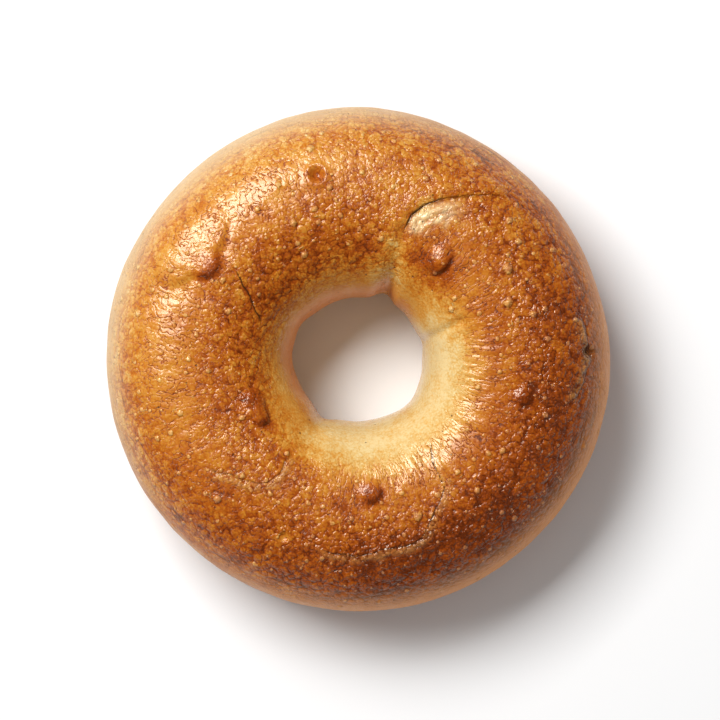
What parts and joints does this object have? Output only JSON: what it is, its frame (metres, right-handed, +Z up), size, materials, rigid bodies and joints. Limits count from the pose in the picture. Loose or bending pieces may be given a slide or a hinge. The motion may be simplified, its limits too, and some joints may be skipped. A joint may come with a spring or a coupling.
{
  "type": "plain bagel",
  "caption": "Whole plain bagel: a plump baked ring of dough with a hole through its middle, lying on its flat underside.",
  "frame": {"origin": "on the surface that the bagel rests on, under the middle of its outline", "axes": "+Z up out of the hole, +Y towards the top edge of the picture and +X towards its right edge"},
  "size_m": [0.1052, 0.1054, 0.0349],
  "materials": {
    "baked_crust": "satin, golden brown baked crust with fine blisters, pale in the hole"
  },
  "bodies": {
    "root": {"bagel": "baked_crust"}
  },
  "joints": []
}
